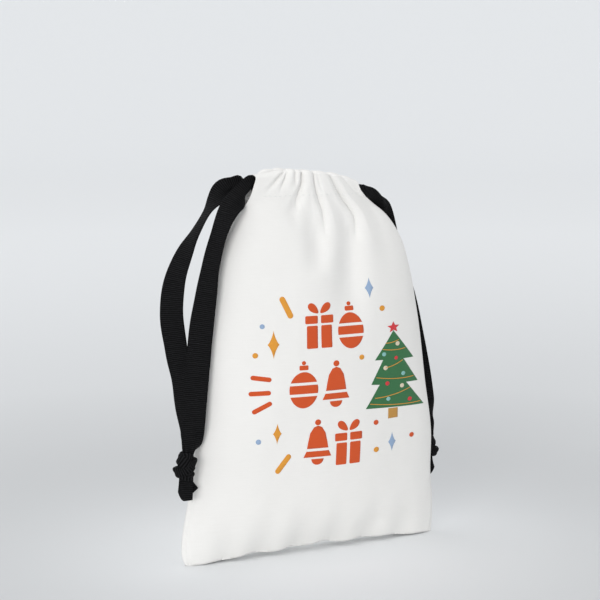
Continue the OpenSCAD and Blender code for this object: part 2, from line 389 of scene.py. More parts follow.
FOLD_RADIUS = 0.45
TAPE_STEP = 1.5  # between rings along a tape
TAPE_ACROSS = 12  # quads across a tape
BEND_LENGTH = 12.0  # of a strand, where it bends over the slit's edge
RIM_ABOVE_TAPE = 1.7  # the casing's rim stands this much higher than the tape in it
TUCK_X, TUCK_LENGTH = -38.8, 2.6  # the left straps are tucked under the rim from here on, over this length


def resample(route, step):
    """Even points on a smooth curve through route, their places counted in its points, and its length."""
    route = np.asarray(route, float)
    at = lengths_along(route)
    fine = np.linspace(0, at[-1], 800)
    length = lengths_along(through(at, route, fine))
    count = max(3, int(round(length[-1] / step)) + 1)
    where = np.interp(np.linspace(0, length[-1], count), length, fine)
    return through(at, route, where), np.interp(where, at, np.arange(len(route))), length[-1]


def turned(v, axis, degrees):
    """v turned about axis, row by row."""
    a = np.radians(degrees)[:, None]
    along = axis * np.sum(axis * v, axis=1, keepdims=True)
    return v * np.cos(a) + np.cross(axis, v) * np.sin(a) + along * (1 - np.cos(a))


def tape_section(fold, pinch):
    """Middle line across the tape's width: the lower half folds behind its face, and pinch crumples it."""
    v = np.linspace(-0.5, 0.5, TAPE_ACROSS + 1)
    u = v * TAPE_WIDTH
    w = np.maximum(-u, 0)[None, :]
    turn = np.minimum(np.radians(fold)[:, None], w / FOLD_RADIUS)
    x = np.where(w > 0, -(FOLD_RADIUS * np.sin(turn) + (w - FOLD_RADIUS * turn) * np.cos(turn)), u[None, :])
    d = np.where(w > 0, -(FOLD_RADIUS * (1 - np.cos(turn)) + (w - FOLD_RADIUS * turn) * np.sin(turn)), 0)
    x = x - (x.min(axis=1, keepdims=True) + x.max(axis=1, keepdims=True)) / 2
    x = x * (1 - pinch[:, None])
    d = d * (1 - 0.5 * pinch[:, None]) + 1.6 * pinch[:, None] * np.cos(v * 15)[None, :]
    return v, x, d


def tape_mesh(centre, face, fold, pinch, thick=TAPE_THICK, start_along=0.0, cup=0.25, seed=0.0):
    """A flat tape along centre, facing face, folded lengthwise by fold degrees."""
    run = unit(np.gradient(centre, axis=0))
    across = unit(np.cross(run, face))
    out = unit(np.cross(across, run))
    out *= np.sign(np.sum(out * face, axis=1, keepdims=True))
    along = start_along + lengths_along(centre)
    v, x, d = tape_section(fold, pinch)
    open_share = 1 - np.clip(fold / 60, 0, 1)
    d = d + cup * open_share[:, None] * (1 - (2 * v[None, :]) ** 2) * np.sin(along[:, None] * 0.09 + seed)
    d = d + 0.12 * np.sin(along[:, None] * 0.35 + 3 * seed + 4 * v[None, :])
    slope_x, slope_d = np.gradient(x, axis=1), np.gradient(d, axis=1)
    size = np.maximum(np.hypot(slope_x, slope_d), 1e-9)
    edge = thick / 2 * (1 - 0.3 * (np.abs(v) > 0.49))
    off_x, off_d = -slope_d / size * edge[None, :], slope_x / size * edge[None, :]
    rings = []
    for way in (1, -1):
        px, pd = x + way * off_x, d + way * off_d
        if way < 0:
            px, pd = px[:, ::-1], pd[:, ::-1]
        rings.append(centre[:, None] + across[:, None] * px[..., None] + out[:, None] * pd[..., None])
    ring = np.concatenate(rings, axis=1)
    n, m = ring.shape[:2]
    faces = tube_faces(n, m) + strip_caps(n, m)
    uv = grid_uv(np.concatenate([v, v[::-1]]) * TAPE_WIDTH, along[:, None])
    return ring.reshape(-1, 3), faces, uv


def strand_mesh(name):
    facts = STRANDS[name]
    centre, where, length = resample(ROUTES[name], TAPE_STEP)
    keys = np.arange(len(ROUTES[name]))
    fold = np.clip(through(keys, np.array(facts["fold"], float), where), 0, MOST_FOLD)
    twist = through(keys, np.array(facts["twist"], float), where)
    pinch = 0.35 * soften((where - len(keys) + 2.2) / 1.2)
    share = soften((where - 0.5) / 3.5)[:, None]
    face = unit(np.array([[0, -1.0, 0]]) * (1 - share) + np.array([OPEN_FACE]) * share)
    run = unit(np.gradient(centre, axis=0))
    face = turned(face, run, twist)
    return tape_mesh(centre, face, fold, pinch, start_along=55.0, seed=len(name) * 0.7), centre, length


def above_rim(points):
    """How far tape in the casing would stick out of its rim."""
    rim = rim_at(points[:, 0]) - BACK_RIM_DROP * (points[:, 1] > 0)
    return np.maximum(points[:, 2] - rim + RIM_ABOVE_TAPE, 0)


def make_strand(name, side):
    """One free strand of a loop; gives the piece, the line it follows and its length, in metres."""
    (points, faces, uv), centre, length = strand_mesh(name)
    if side == LEFT:
        points[:, 2] -= above_rim(points) * soften((points[:, 0] - TUCK_X) / TUCK_LENGTH)
    piece = make_piece(name + "_tape", points, faces, TAPE, uv=uv)
    way = -1 if side == LEFT else 1
    end = ((SLIT_X[side] + way * BEND_LENGTH) * MM, 0, (SLIT_Z[side] - 4) * MM)
    side + "_drawstring"
    side + "_loop"
    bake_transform(piece)
    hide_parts(name + "_strand")
    return piece, centre * MM, length * MM


def declare_strand(strand):
    """Takes a strand apart and lists every fourth point of its line, and its last one, without keeping them.
    """
    piece, centre, length = strand
    [tuple(p) for p in centre[::4].tolist()] + [tuple(centre[-1].tolist())]


strands = {name: make_strand(name, name.split("_")[0]) for name in ROUTES}

# ---------------------------------------------------------------- pouch
CLOTH = 0.7  # thickness
NECK_X = -5.0  # middle of the neck
NECK_HALF = 30.0
CASING_Z = 181.0  # foot of the casing
FOOT_HALF = 72.0
# Outline from foot to neck: height, half width, half depth, fullness exponent
OUTLINE = np.array([
    [0, 72, 10, 0.6], [14, 71.5, 15, 0.62], [40, 69, 18, 0.62], [80, 65.5, 20, 0.62], [120, 61, 19.5, 0.6],
    [145, 56, 18, 0.57], [160, 50.5, 16.2, 0.5], [171, 43.5, 13.8, 0.42], [177, 37.8, 12.2, 0.34],
    [181, 32, 11, 0.28],
])
# The filled pouch sits a little askew: height, how far its middle moves right, how much wider each half is
BULGE = np.array([
    [0, -0.6, 0.5], [4, -1.2, 1.6], [10, -1.2, 2.1], [18, -0.7, 2.0], [30, 0, 1.4], [55, 2.2, 1.8],
    [83, 2.7, 0.2], [117, 3.3, -0.4], [150, 2.9, 0.4], [168, 3.4, 0.2], [177, 2.4, 0.6], [181, 0.4, 0],
])
# Each crease: height, position across, depth, width of its valley
FRONT_CREASES = [
    # short pleats at the left of the rim
    [
        (197, -20.5, 0.7, 0.6), (194.5, -22.6, 1.7, 0.6), (192.3, -24.8, 2.1, 0.6), (189.5, -27.4, 1.7, 0.7),
        (187.4, -29.4, 1.0, 0.9), (184, -33, 0, 1.5),
    ],
    [
        (197, -19.5, 0.7, 0.6), (193.5, -20.8, 1.5, 0.6), (191.2, -21.7, 1.8, 0.6), (187.8, -23.2, 1.0, 0.8),
        (184, -25, 0, 1.5),
    ],
    [(197, -15.2, 0.8, 0.5), (193, -15.7, 1.8, 0.55), (190, -15.7, 1.4, 0.6), (187, -16, 0, 1)],
    # the left fold and the soft hollow below it
    [
        (197, -11.6, 1.9, 0.6), (192.5, -11.9, 2.9, 0.65), (189.5, -11.9, 3.1, 0.7), (184.6, -13.5, 2.9, 0.9),
        (180.5, -14.6, 2.6, 1.1), (177.2, -15.4, 1.7, 1.4), (174.5, -16, 0, 2),
    ],
    [
        (186, -16, 0, 3), (180, -17.5, 1.0, 2.6), (175, -17.6, 1.4, 2.6), (170.5, -17.3, 0.9, 2.8),
        (166, -17, 0, 3.5),
    ],
    # the middle fold, the hollow beside it and a short pleat
    [
        (197, -5.6, 1.1, 0.6), (192.3, -5.1, 2.1, 0.6), (188.5, -4.6, 2.4, 0.7), (185.3, -3.9, 2.6, 0.8),
        (180, -2.3, 2.7, 0.9), (175.3, -1.0, 2.5, 1.0), (169.5, -0.6, 2.0, 1.1), (165.5, -0.5, 1.3, 1.4),
        (161.5, -0.5, 0, 2),
    ],
    [
        (182, -7, 0, 4), (175, -7.5, 1.4, 4), (168, -6.5, 3.2, 4.6), (158, -5.5, 3.8, 4.8),
        (150, -6.5, 2.2, 4.6), (142, -8, 0, 4.5),
    ],
    [(195, -3.4, 0, 0.6), (190.3, -2.8, 1.2, 0.6), (186.8, -1.6, 1.1, 0.7), (183, -0.5, 0, 1)],
    # the right fold and the long hollow below it
    [
        (197, 0.5, 0.8, 0.7), (191.1, 4.8, 1.9, 0.7), (186, 8, 2.5, 0.9), (180.3, 12, 2.9, 1.0),
        (176, 15.6, 3.0, 1.1), (172.6, 17.9, 2.9, 1.1), (168, 18.8, 2.5, 1.2), (163.7, 18.6, 1.8, 1.5),
        (157, 18, 0, 2.5),
    ],
    [
        (184, 6, 0, 3), (178, 9.5, 1.0, 3.4), (170, 12.8, 2.6, 4.2), (158, 14.2, 4.4, 5.4),
        (148, 14.4, 5.0, 6), (140, 14, 4.8, 6.4), (130, 13, 3.2, 6.8), (120, 12, 1.4, 7.5), (108, 11, 0, 8),
    ],
    # shallow pleats at the right
    [(197, 9, 0.5, 0.8), (190, 12.5, 0.9, 0.8), (186, 16.5, 0.7, 1), (182, 21, 0, 2)],
    [
        (190, 15, 0, 2), (186, 19, 0.7, 2), (176.4, 28.5, 1.1, 3.2), (166.3, 33, 0.9, 4),
        (153.7, 34.4, 0.6, 5), (138, 34, 0, 8),
    ],
]
BACK_CREASES = [
    [(197, -28, 0.6, 0.9), (188, -28.6, 1.1, 1), (181, -31, 1.0, 1.6), (170, -39, 0, 3)],
    [(197, -20, 0.8, 0.9), (188, -21.4, 1.2, 1), (181, -24, 2, 1.6), (168, -30, 1.6, 3), (152, -34, 0, 6)],
    [(197, -13.6, 0.4, 0.9), (188, -13.2, 0.8, 1), (181, -14.5, 0.8, 1.6), (170, -17, 0, 3)],
    [(197, -6.8, 0.9, 0.9), (188, -6.4, 1.3, 1), (181, -6.8, 2.4, 1.5), (165, -8, 2, 3), (146, -9, 0, 7)],
    [(197, 1.2, 0.4, 0.9), (188, 2.4, 0.9, 1), (181, 3.6, 1.4, 1.5), (170, 6, 0.8, 3), (160, 7, 0, 5)],
    [(197, 7.6, 0.7, 0.9), (188, 8.6, 1.2, 1), (181, 12, 2.2, 1.5), (168, 18, 2, 3), (150, 22, 0, 7)],
    [(197, 15, 0.3, 1), (188, 16.5, 0.8, 1), (181, 21, 1, 1.6), (168, 29, 0, 4)],
]
BACK_DEPTH = 1.5  # times the depths above
# Broad shallow dents in the front: across, height, half width, half height, depth
FRONT_DENTS = [(33, 12, 6, 5, 0.9), (22, 9, 4, 6, 0.7), (-30, 150, 12, 14, 0.4)]
BACK_DENTS = [(8, 148, 6, 15, 1.2), (-26, 140, 7, 18, 1), (30, 90, 14, 22, 0.9), (-20, 60, 18, 16, 0.7)]

CASING_OUT = 11.0  # how far the front of the casing stands from the middle, at its foot
RIM_OUT = 10.5  # and at its rim
RIM_ROUND = 3.15  # half the thickness of the rim
RIM_RISE = 1.8  # height of its rounding
FOOT_LIFT = 3.4  # how far the middle of the foot arches off the ground
EDGE_CURL = 2.7  # how far the casing's ends curl inwards
TAPE_ROOM = 7.7  # the casing stays this far from the middle, clear of the tape in it
ACROSS = np.linspace(-1, 1, 181)
JOIN_ROWS = slice(134, 158)  # rows where wall and casing are smoothed into each other
WALL_ROWS = slice(8, 150)  # rows between the foot and the casing
BROAD_ROW = 80  # a row half-way up, which the weave's spacing across is taken from


def outline_at(z):
    z = np.clip(z, 0, CASING_Z)
    rows = through(OUTLINE[:, 0], OUTLINE[:, 1:], z)
    return rows + np.stack([through(BULGE[:, 0], BULGE[:, 2], z), 0 * z, 0 * z], axis=-1)


def lean(z):
    """How far the middle of the pouch stands to the right at a height."""
    z = np.clip(z, 0, CASING_Z)
    return NECK_X * (z / CASING_Z) ** 2 + through(BULGE[:, 0], BULGE[:, 1], z)


def section(z, a, b, e):
    """Points and outward directions of a half lens, even along its arc, front side."""
    angle = np.linspace(-math.pi / 2, math.pi / 2, 721)
    x, y = a * np.sin(angle), -b * np.cos(angle) ** (2 * e)
    arc = np.concatenate([[0], np.cumsum(np.hypot(np.diff(x), np.diff(y)))])
    at = (ACROSS + 1) / 2 * arc[-1]
    x, y = np.interp(at, arc, x), np.interp(at, arc, y)
    dx, dy = np.gradient(x), np.gradient(y)
    n = unit(np.stack([dy, -dx, np.zeros_like(dx)], axis=1))
    return np.stack([x + lean(z), y, np.full_like(x, z)], axis=1), n


def casing_x(up, side):
    """Where the columns of cloth lie across the casing: it narrows from its foot (up 0) to its rim (up 1)."""
    if side == FRONT:
        left, right = NECK_X - 35.6 + 2.9 * up, NECK_X + 25.6 - 1.0 * up + 4.6 * (1 - up) ** 2
    else:
        left, right = NECK_X - 35.6 + 8.6 * up, NECK_X + 29.4 + 0.8 * (1 - up) ** 2
    return NECK_X + ACROSS * np.where(ACROSS < 0, NECK_X - left, right - NECK_X)


def creased(x, z, creases):
    """How far the gathered cloth falls back into its creases: sharp valley lines with soft shoulders."""
    depth = np.zeros_like(x)
    for crease in creases:
        facts = through([-k[0] for k in crease], [k[1:] for k in crease], -z)
        across, deep, wide = facts[..., 0], facts[..., 1], np.maximum(facts[..., 2], 0.4)
        r = np.abs(x - across) / wide
        shoulder = np.exp(-(((r - 4.2) / 1.5) ** 2))
        fold = 0.72 * np.exp(-(r**1.25)) + 0.28 * np.exp(-((r / 3.0) ** 2)) - 0.1 * shoulder
        # a hollow is wide and soft, and steeper on its right
        hollow = np.exp(-((r / np.where(x < across, 1.6, 1.2)) ** 2))
        sharp = np.clip((3.0 - wide) / 1.2, 0, 1)
        depth += np.maximum(deep, 0) * (fold * sharp + hollow * (1 - sharp))
    return depth


def plain_rows(side):
    """One panel before it is creased, from the bottom seam up over the rim and down the inner facing.

    Gives points, outward directions, and the share of a crease's depth that shows at each point.
    """
    edge = np.abs(ACROSS)
    points, normals, shares = [], [], []
    foot, _ = section(0, *outline_at(0))
    seam = np.stack([(FOOT_HALF - 2) * np.sin(ACROSS * math.pi / 2), 0 * ACROSS, 0 * ACROSS], axis=1)
    for t in np.linspace(0, 1, 7)[:-1]:
        points.append(seam * (1 - t) + foot * t)
        normals.append(np.tile([0, 0, -1.0], (len(foot), 1)))
        shares.append(0 * edge)
    for z in np.linspace(0, CASING_Z - 0.5, 145):
        row, n = section(z, *outline_at(z))
        # the side seam shows as a narrow furrow
        furrow = 0.55 * np.exp(-(((edge - 0.968) / 0.009) ** 2)) * soften((176 - z) / 10)
        row = row - n * furrow[:, None]
        # towards the casing the edges part for the slit
        w = soften((z - 176.5) / 5)
        open_row = np.stack([casing_x(0.0, side), -CASING_OUT + EDGE_CURL * edge**2, row[:, 2]], axis=1)
        points.append(row * (1 - w) + open_row * w)
        normals.append(unit(n * (1 - w) + np.array([[0, -1.0, 0]]) * w))
        shares.append(soften((1 - edge) / 0.08))
    rim = rim_at(casing_x(1.0, side))
    if side == BACK:
        rim = rim - BACK_RIM_DROP * soften((-25 - casing_x(1.0, side)) / 6)
    top = rim - RIM_RISE
    profile = []
    for q in np.linspace(0.03, 1, 13):
        y = -CASING_OUT + (CASING_OUT - RIM_OUT) * q
        profile.append((y, CASING_Z + q * (top - CASING_Z), -1.0, 0.0, 1.0, 1 - 0.75 * q))
    for angle in np.linspace(0, math.pi, 11)[1:-1]:
        c, s = math.cos(angle), math.sin(angle)
        profile.append((-RIM_OUT + RIM_ROUND * (1 - c), top + RIM_RISE * s, -c, s, 0.62 + 0.38 * c, 0.25))
    facing_end = np.where(edge < 0.7, 182.6, top - 0.5)
    for q in np.linspace(0, 1, 9):
        down = top + q * (facing_end - top)
        profile.append((-RIM_OUT + 2 * RIM_ROUND, down, 1.0, 0.0, 0.22, 0.25 * (1 - q)))
    for y, z, ny, nz, share, bend in profile:
        z = np.broadcast_to(z, edge.shape).astype(float)
        up = np.clip((z - CASING_Z) / 10, 0, 1)
        points.append(np.stack([casing_x(up, side), y + EDGE_CURL * edge**2 * bend, z], axis=1))
        normals.append(np.tile([0, ny, nz], (len(edge), 1)))
        shares.append(share * soften((1 - edge) / 0.05))
    points = np.array(points)
    # the casing's foot runs on smoothly from the wall below
    inner = slice(JOIN_ROWS.start - 1, JOIN_ROWS.stop - 1)
    share = np.sin(np.linspace(0, math.pi, JOIN_ROWS.stop - JOIN_ROWS.start))[:, None, None] ** 0.5
    for _ in range(30):
        smooth = (points[:-2] + 2 * points[1:-1] + points[2:]) / 4
        points[JOIN_ROWS] += (smooth[inner] - points[JOIN_ROWS]) * share
    return points, np.array(normals), np.array(shares)


def panel_rows(side):
    """Outer surface of one panel with its creases, dents, soft waves and arched foot."""
    creases, dents = (FRONT_CREASES, FRONT_DENTS) if side == FRONT else (BACK_CREASES, BACK_DENTS)
    points, normals, shares = plain_rows(side)
    x, z = points[..., 0], points[..., 2]
    depth = creased(x, z, creases) * (1.0 if side == FRONT else BACK_DEPTH)
    for cx, cz, rx, rz, d in dents:
        depth = depth + d * np.exp(-(((x - cx) / rx) ** 2) - ((z - cz) / rz) ** 2)
    plain_y = points[..., 1].copy()
    points = points - normals * (depth * shares)[..., None]
    # inside the casing there is tape: the creases stop short of it
    outer = (normals[..., 1] < -0.3) & (z > CASING_Z)
    limit = np.maximum(-TAPE_ROOM, plain_y)
    points[..., 1] = np.where(outer, np.minimum(points[..., 1], limit), points[..., 1])
    x, z = points[..., 0], points[..., 2]
    waves = np.array([[soft_wave(p, side) for p in row] for row in points])
    inside = soften((1 - np.abs(ACROSS)) / 0.12)[None, :] * soften((176 - z) / 16) * (normals[..., 2] > -0.5)
    points = points + normals * (waves * inside)[..., None]
    span = 1 - np.clip(np.abs(points[..., 0]) / (FOOT_HALF - 2), 0, 1) ** 2
    low = np.clip(1 - z / 30, 0, 1)
    ripple = 0.55 * np.sin(points[..., 0] / 3.3 + 0.8) + 0.4 * np.sin(points[..., 0] / 6.1 + 2.0)
    sway = 1.1 * side * np.sin(points[..., 0] / 3.3 + 2.1) * (normals[..., 2] > -0.5)
    points[..., 1] *= 1 - 0.5 * low**2 * span**0.5
    points[..., 1] += sway * span**0.5 * low
    points[..., 2] += (FOOT_LIFT + ripple) * span * low**2
    if side == BACK:
        points = points * np.array([1, -1, 1.0])
    return points


def soft_wave(p, side):
    """Slow unevenness of the cloth at a point."""
    broad = noise.noise(Vector((p[0] / 26, p[2] / 34, 3.0 * side)))
    return broad * 0.7 + noise.noise(Vector((p[0] / 9, p[2] / 13, 7.0 + side))) * 0.18


def cloth_lengths(points):
    """Cloth coordinates: how far each point lies along the cloth, across and up from the bottom seam."""
    middle = points.shape[1] // 2
    across = lengths_along(points[BROAD_ROW])
    across -= across[middle]
    up = lengths_along(points[:, middle])
    return grid_uv(across, up[:, None])


def grid_faces(n, m, start=0, flip=False):
    i, j = np.meshgrid(np.arange(n - 1), np.arange(m - 1), indexing="ij")
    a = (start + i * m + j).ravel()
    quads = np.stack([a, a + m, a + m + 1, a + 1], axis=1)
    return (quads[:, ::-1] if flip else quads).tolist()


def surface_normals(points):
    du = np.gradient(points, axis=1)
    dv = np.gradient(points, axis=0)
    return unit(np.cross(dv, du))


def skin(points, side):
    """Closed shell: the surface, a copy inwards, and the edges between."""
    n, m = points.shape[:2]
    outward = surface_normals(points)
    if np.mean(outward[WALL_ROWS, :, 1]) * side < 0:
        outward = -outward
    inner = points - outward * CLOTH
    total = n * m
    faces = grid_faces(n, m) + grid_faces(n, m, total, flip=True)
    loop = [(0, j) for j in range(m)] + [(i, m - 1) for i in range(1, n)]
    loop += [(n - 1, j) for j in range(m - 2, -1, -1)] + [(i, 0) for i in range(n - 2, 0, -1)]
    ids = [i * m + j for i, j in loop]
    for a, b in zip(ids, ids[1:] + ids[:1]):
        faces.append([a, b, total + b, total + a])
    return np.concatenate([points.reshape(-1, 3), inner.reshape(-1, 3)]), faces


def make_panel(side):
    name = "front" if side == FRONT else "back"
    points = panel_rows(side)
    uv = cloth_lengths(points)
    shell, faces = skin(points, side)
    shell[:, 2] = np.maximum(shell[:, 2], 0)
    nodes = (name + "_panel", name + "_casing")
    both = np.concatenate([uv, uv])
    piece = make_piece(name + "_cloth", shell, faces, COTTON, POUCH, both, nodes)
    return piece, points


def surface_tree(points):
    return BVHTree.FromPolygons(points.reshape(-1, 3).tolist(), grid_faces(*points.shape[:2]))


def panel_hit(tree, x, z, face):
    """Where a line from outside meets a panel: point and outward direction."""
    at, normal, _, _ = tree.ray_cast(Vector((x, face * 80, z)), Vector((0, -face, 0)))
    if at is None:
        return None
    n = np.array(normal)
    return np.array(at), n * (1 if n[1] * face > 0 else -1)


front_cloth, front_points = make_panel(FRONT)
back_cloth, back_points = make_panel(BACK)
front_tree, back_tree = surface_tree(front_points), surface_tree(back_points)


# ---------------------------------------------------------------- print
# Flat shapes on the front, across and up; each is a closed loop.
def disc(x, z, r, tall=1.0, count=28):
    return [(x + r * math.cos(t), z + r * tall * math.sin(t)) for t in angles(count)]


def star(x, z, half_w, half_h):
    """A four-pointed sparkle with sides that curve in a little."""
    a = angles(40)
    across, up = (np.sign(q) * np.abs(q) ** 2.6 for q in (np.cos(a), np.sin(a)))
    return [(x + half_w * u, z + half_h * v) for u, v in zip(across, up)]


def tree_star(x, z, r):
    """A five-pointed star, a little wider than high."""
    turn = math.pi / 2 + np.arange(10) * math.pi / 5
    return [(x + 1.15 * q * math.cos(t), z + q * math.sin(t)) for t, q in zip(turn, [r, 0.45 * r] * 5)]


def dash(x0, z0, x1, z1, wide):
    """A straight stroke with round ends."""
    d = math.atan2(z1 - z0, x1 - x0)
    r = wide / 2
    loop = []
    for (x, z), base in (((x1, z1), d - math.pi / 2), ((x0, z0), d + math.pi / 2)):
        loop += [(x + r * math.cos(base + t), z + r * math.sin(base + t)) for t in np.linspace(0, math.pi, 9)]
    return loop


def box_loop(x0, z0, x1, z1, r=0.6):
    """A rectangle with rounded corners."""
    loop = []
    corners = ((x1 - r, z1 - r), (x0 + r, z1 - r), (x0 + r, z0 + r), (x1 - r, z0 + r))
    for quarter, (x, z) in enumerate(corners):
        arc = np.linspace(quarter, quarter + 1, 5) * math.pi / 2
        loop += [(x + r * math.cos(t), z + r * math.sin(t)) for t in arc]
    return loop


def placed(loops, x, z, scale=1.0):
    return [[(x + scale * u, z + scale * v) for u, v in loop] for loop in loops]


def slab(outline, low, high):
    """The part of a convex outline between two heights."""
    def cut(loop, level, keep_above):
        kept = []
        for (ax, az), (bx, bz) in zip(loop, loop[1:] + loop[:1]):
            a_in, b_in = (az >= level) == keep_above, (bz >= level) == keep_above
            if a_in:
                kept.append((ax, az))
            if a_in != b_in:
                t = (level - az) / (bz - az)
                kept.append((ax + t * (bx - ax), level))
        return kept

    return cut(cut(outline, low, True), high, False)


def smooth_loop(loop, times=2):
    """Corner cutting: a rounder loop."""
    for _ in range(times):
        pairs = zip(loop, loop[1:] + loop[:1])
        loop = [tuple(a[k] * (1 - s) + b[k] * s for k in (0, 1)) for a, b in pairs for s in (0.25, 0.75)]
    return loop


def gift():
    """A wrapped box with a ribbon left bare and a two-looped bow, 15 wide and 23 high."""
    left_bow = [(-0.5, 17.2), (-1.6, 20.6), (-3.4, 22.6), (-5.4, 22.8), (-6.4, 21.2), (-5.6, 19.2)]
    left_bow.append((-3.6, 17.8))
    right_bow = [(-x, z) for x, z in left_bow][::-1]
    box = [box_loop(-6.8, 0, -1.3, 11.4), box_loop(1.3, 0, 6.8, 11.4)]
    lid = [box_loop(-7.6, 12.4, -1.3, 16.4), box_loop(1.3, 12.4, 7.6, 16.4)]
    return box + lid + [smooth_loop(left_bow), smooth_loop(right_bow)]


def bauble():
    """A hanging ornament in three bands with a cap, 15 wide and 23 high."""
    ball = disc(0, 9.0, 7.6, 1.18, 44)
    bands = [slab(ball, *levels) for levels in ((-1, 5.8), (7.2, 11.4), (12.8, 20))]
    return bands + [box_loop(-2.2, 18.9, 2.2, 21.2, 0.5), disc(0, 22.4, 1.0)]


def bell():
    """A bell with a bare band and a clapper, 15 wide and 23 high."""
    right = [(7.6, 4.2), (6.0, 7.4), (5.2, 12.0), (4.2, 16.4), (2.2, 19.4)]
    body = [(-7.6, 4.2), *right, (0, 20.2), *[(-x, z) for x, z in right[:0:-1]]]
    return [slab(body, 4, 7.2), slab(body, 8.6, 21), slab(disc(0, 3.2, 3.1), 0, 3.2), disc(0, 21.9, 1.5)]


def garland(x0, z0, x1, z1, sag, wide=0.34):
    """A thin sagging ribbon."""
    t = np.linspace(0, 1, 13)
    x, z = x0 + (x1 - x0) * t, z0 + (z1 - z0) * t - sag * 4 * t * (1 - t)
    return [*zip(x, z + wide / 2), *zip(x[::-1], z[::-1] - wide / 2)]


# Outline of the fir, clockwise from its top: the tips of its three tiers and the notches between them
FIR = [
    (38.1, 112.6), (53.4, 97.2), (45.2, 97.4), (56.6, 84.5), (47.2, 84.9), (61.4, 71.6), (19.8, 73.8),
    (28.8, 85.4), (23.3, 85.9), (30.8, 98.1), (25.5, 98.3),
]
PRINT = [
    # ink, layer, loops
    ("red", 0, placed(gift(), -7.4, 107.2) + placed(bauble(), 11.0, 105.8)),
    ("red", 0, placed(bauble(), -16.2, 77.4, 1.02) + placed(bell(), 1.8, 76.6, 1.02)),
    ("red", 0, placed(bell(), -8.2, 47.8) + placed(gift(), 9.4, 46.6)),
    ("green", 0, [FIR]),
    ("brown", 0, [[(35.4, 67.2), (40.6, 67.2), (40.6, 72.3), (35.4, 72.5)]]),
    ("crimson", 1, [tree_star(38.2, 114.2, 2.9)]),
    ("gold", 1, [
        garland(32.7, 106.5, 41.8, 107.5, 0.4), garland(30.4, 103.5, 46.6, 102.8, 0.6),
        garland(32.4, 93.9, 44.6, 96.8, 0.6), garland(26.5, 89.3, 53.0, 87.4, 0.8),
        garland(25.8, 78.7, 50.2, 81.8, 0.9), garland(22.4, 76.1, 58.6, 73.4, 0.8),
    ]),
    ("aqua", 1, [disc(31.4, 100.9, 1.05), disc(45.0, 89.7, 1.05), disc(34.6, 77.5, 1.05)]),
    ("crimson", 1, [disc(39.8, 98.3, 0.95), disc(33.8, 85.6, 1.1), disc(50.0, 75.7, 1.1)]),
    ("cream", 1, [disc(40.9, 105.6, 1.1), disc(32.4, 93.8, 1.15), disc(44.1, 83.4, 1.1)]),
    ("gold", 0, [
        dash(-26.8, 132.4, -23.0, 124.2, 2.8), dash(-29.4, 46.4, -23.8, 53.2, 2.8),
        star(-31.6, 110.1, 2.9, 7.0), star(-30.0, 65.4, 2.2, 5.2),
        disc(-40.5, 105.0, 1.35), disc(30.7, 124.6, 1.4), disc(17.1, 100.8, 1.3), disc(26.9, 52.0, 1.4),
    ]),
    ("blue", 0, [
        star(23.1, 135.4, 2.3, 5.2), star(37.6, 54.8, 2.1, 5.0),
        disc(-37.0, 119.3, 1.2), disc(-39.6, 61.9, 1.3),
    ]),
    ("red", 0, [
        dash(-41.8, 94.0, -34.0, 92.8, 2.3), dash(-42.8, 86.0, -34.4, 86.2, 2.3),
        dash(-41.4, 77.0, -34.0, 80.8, 2.3), disc(26.5, 66.2, 1.3), disc(51.8, 56.4, 1.25),
    ]),
]
# Small marks look round from the camera's side
PRINT_VIEW = (math.sin(math.radians(CAMERA_TURN)), -math.cos(math.radians(CAMERA_TURN)))
SMALL_MARK = 3.5  # half the width of the widest mark that is made rounder
PRINT_STEP = 1.6  # between the cuts that let ink follow the cloth
INK_PROUD = 0.09  # how far the first layer of ink stands off the cloth
INK_SUNK = 0.12  # how far below the cloth's surface it is closed


def widened(loop, tree):
    """A small mark that keeps its shape, seen from PRINT_VIEW, where the cloth turns away."""
    x_mid, z_mid = np.mean(loop, axis=0)
    if max(abs(x - x_mid) for x, _ in loop) >= SMALL_MARK:
        return loop
    _, facing = panel_hit(tree, x_mid, z_mid, FRONT)
    seen = facing[0] * PRINT_VIEW[0] + facing[1] * PRINT_VIEW[1]
    return [(x_mid + (x - x_mid) / np.clip(seen, 0.62, 1) ** 0.85, z) for x, z in loop]


def filled(loop):
    """A flat mesh inside a loop, cut finely enough to follow the cloth."""
    b = bmesh.new()
    flat = [Vector((x, z, 0)) for x, z in loop]
    corners = [b.verts.new(v) for v in flat]
    for tri in tessellate_polygon([flat]):
        try:
            b.faces.new([corners[i] for i in tri])
        except ValueError:  # this triangle is there already
            pass
    bmesh.ops.remove_doubles(b, verts=b.verts, dist=1e-4)
    for axis in (0, 1):
        low, high = min(v.co[axis] for v in b.verts), max(v.co[axis] for v in b.verts)
        level = math.ceil(low / PRINT_STEP) * PRINT_STEP
        while level < high - 1e-6:
            normal = Vector((axis == 0, axis == 1, 0))
            everything = [*b.verts, *b.edges, *b.faces]
            bmesh.ops.bisect_plane(b, geom=everything, plane_co=normal * level, plane_no=normal)
            level += PRINT_STEP
    b.verts.index_update()
    return b


def ink_mesh(loops, tree, proud):
    """Ink in the shape of the loops: laid on the cloth, and closed below its surface."""
    parts = []
    for loop in loops:
        b = filled(widened(loop, tree))
        n = len(b.verts)
        top, under, uv = [], [], []
        for v in b.verts:
            spot, out = panel_hit(tree, v.co[0], v.co[1], FRONT)
            top.append(spot + out * proud)
            under.append(spot - out * INK_SUNK)
            uv.append((v.co[0], v.co[1]))
        faces = [[v.index for v in f.verts] for f in b.faces]
        closed = faces + [[n + i for i in f[::-1]] for f in faces]
        for e in b.edges:
            if len(e.link_faces) == 1:
                i, j = e.verts[0].index, e.verts[1].index
                closed.append([i, j, n + j, n + i])
        b.free()
        parts.append((top + under, closed, uv + uv))
    return join_meshes(parts)


